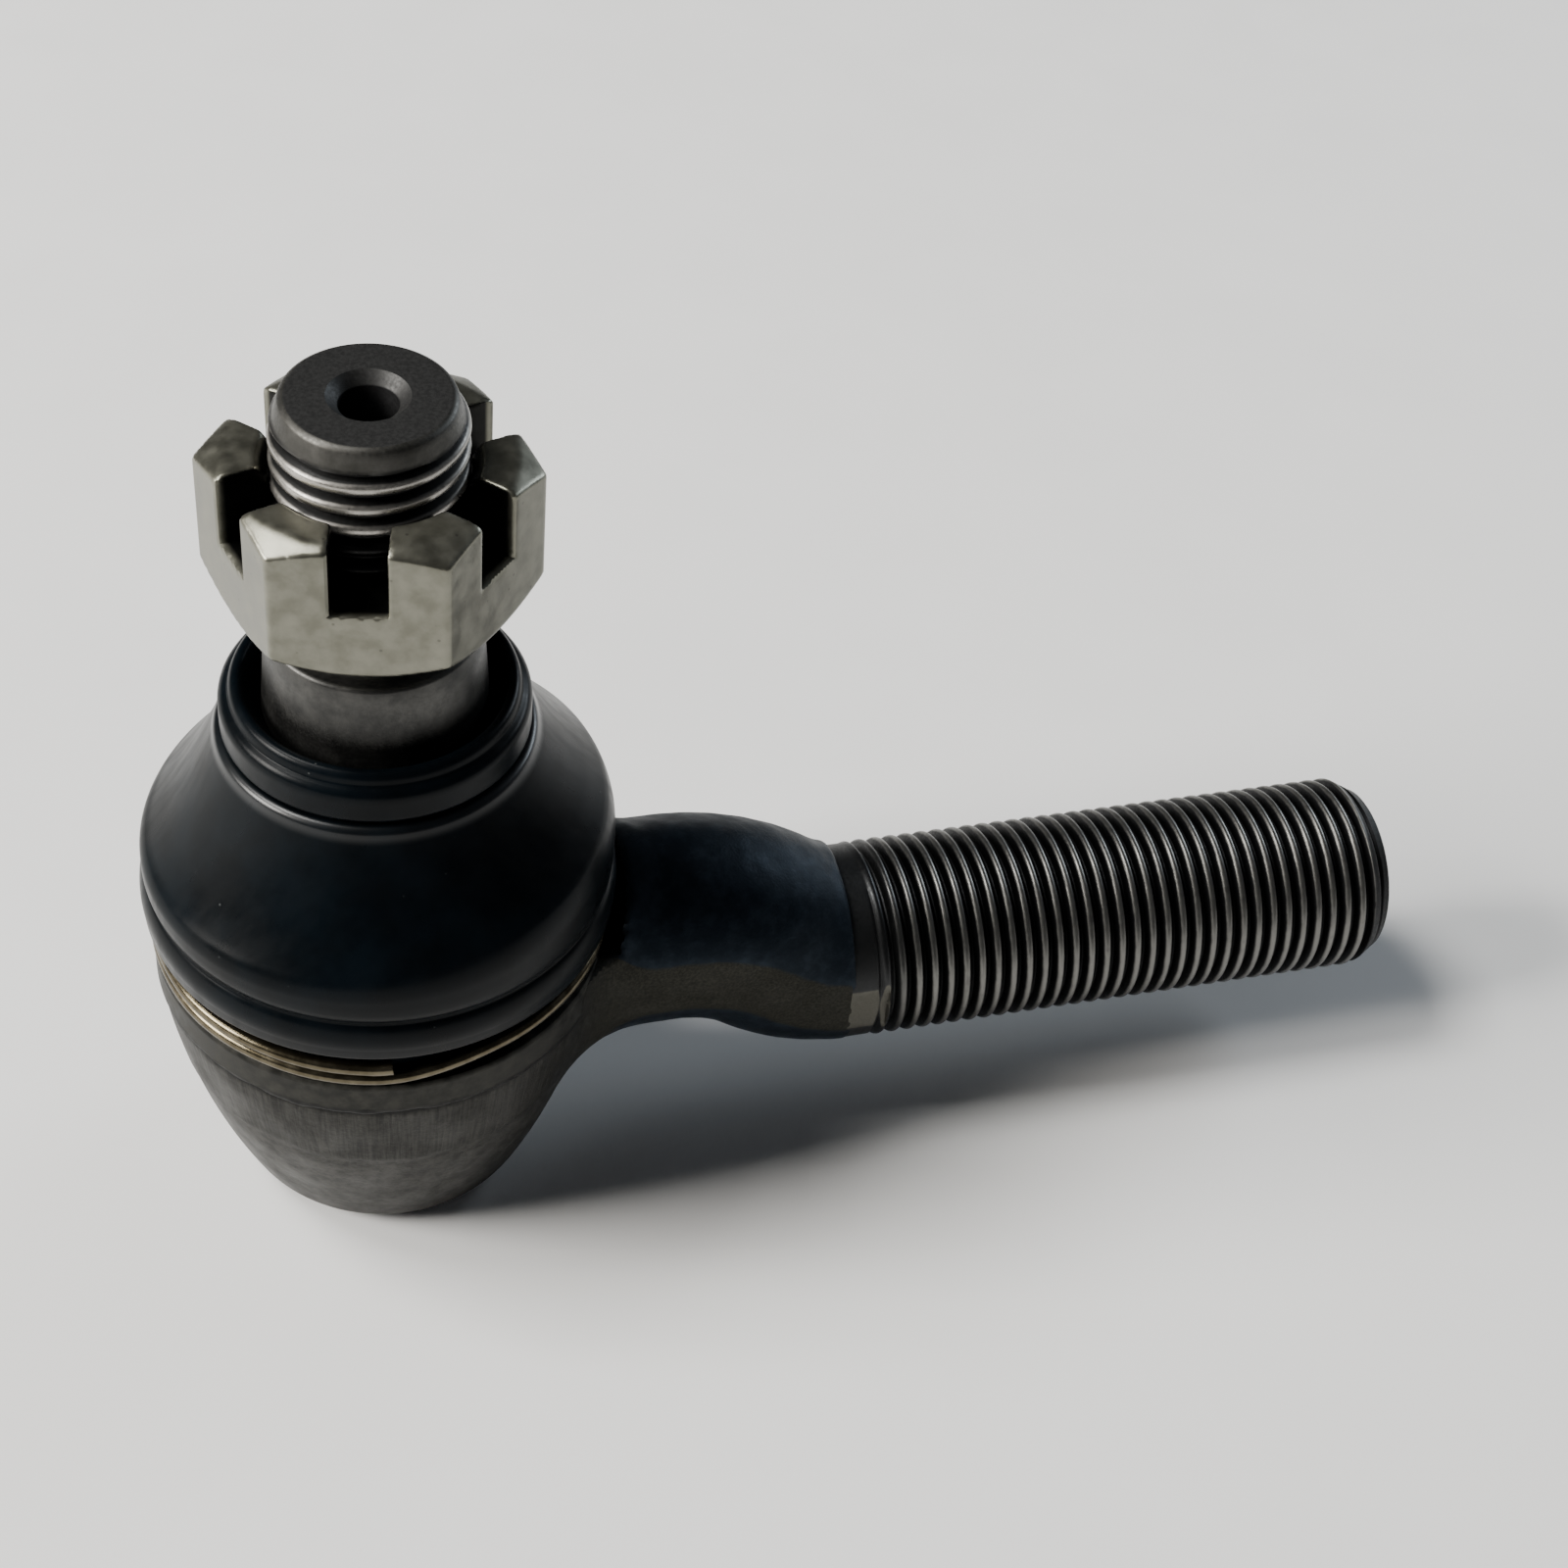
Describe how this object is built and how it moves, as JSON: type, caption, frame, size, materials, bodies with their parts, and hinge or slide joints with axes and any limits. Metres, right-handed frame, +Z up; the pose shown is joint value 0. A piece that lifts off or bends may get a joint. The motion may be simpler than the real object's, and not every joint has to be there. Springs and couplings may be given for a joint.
{
  "type": "tie rod end",
  "caption": "Outer tie rod end: a forged socket with an externally threaded shank, a swinging ball stud with a slotted nut, and a rubber dust boot held by a wire ring.",
  "frame": {"origin": "centre of the flat ring on the underside of the socket, on the ball stud's axis", "axes": "+Z up the ball stud towards its threaded end, +X out along the threaded shank, +Y completes the right-handed set and lies across the object"},
  "size_m": [0.1514, 0.0528, 0.1095],
  "materials": {
    "forged_steel": "oiled forging, turned bands",
    "seat_plastic": "moulded acetal",
    "spring_steel": "blued",
    "cover_steel": "pressed",
    "wire_steel": "drawn, yellow passivated",
    "boot_rubber": "moulded, satin",
    "insert_steel": "plain",
    "stud_steel": "ground taper, rolled thread",
    "nut_zinc": "zinc plated"
  },
  "bodies": {
    "socket": {"housing": "forged_steel", "upper_seat": "seat_plastic", "end_cover": "cover_steel", "boot_wire_ring": "wire_steel"},
    "seat": {"lower_seat": "seat_plastic", "disc_spring": "spring_steel"},
    "boot_body": {"boot": "boot_rubber"},
    "collar": {"collar_insert": "insert_steel"},
    "stud": {"ball_stud": "stud_steel"},
    "nut": {"castle_nut": "nut_zinc"}
  },
  "joints": [
    {"name": "seat_takeup", "type": "slide", "parent": "socket", "child": "seat", "axis": [0, 0, 1], "range_m": [-0.0006, 0], "stiffness_N_per_m": 2000, "springref_m": 0.002, "deforming": ["disc_spring"]},
    {"name": "stud_swing_x", "type": "hinge", "parent": "socket", "child": "boot_body", "pos_m": [0, 0, 0.0245], "axis": [1, 0, 0], "range_deg": [-18, 18], "deforming": ["boot"]},
    {"name": "stud_swing_y", "type": "hinge", "parent": "boot_body", "child": "collar", "pos_m": [0, 0, 0.0245], "axis": [0, 1, 0], "range_deg": [-18, 18], "deforming": ["boot"]},
    {"name": "stud_spin", "type": "hinge", "parent": "collar", "child": "stud", "pos_m": [0, 0, 0.0245], "axis": [0, 0, 1], "continuous": true},
    {"name": "nut_travel", "type": "slide", "parent": "stud", "child": "nut", "axis": [0, 0, 1], "range_m": [-0.0045, 0.026]}
  ]
}
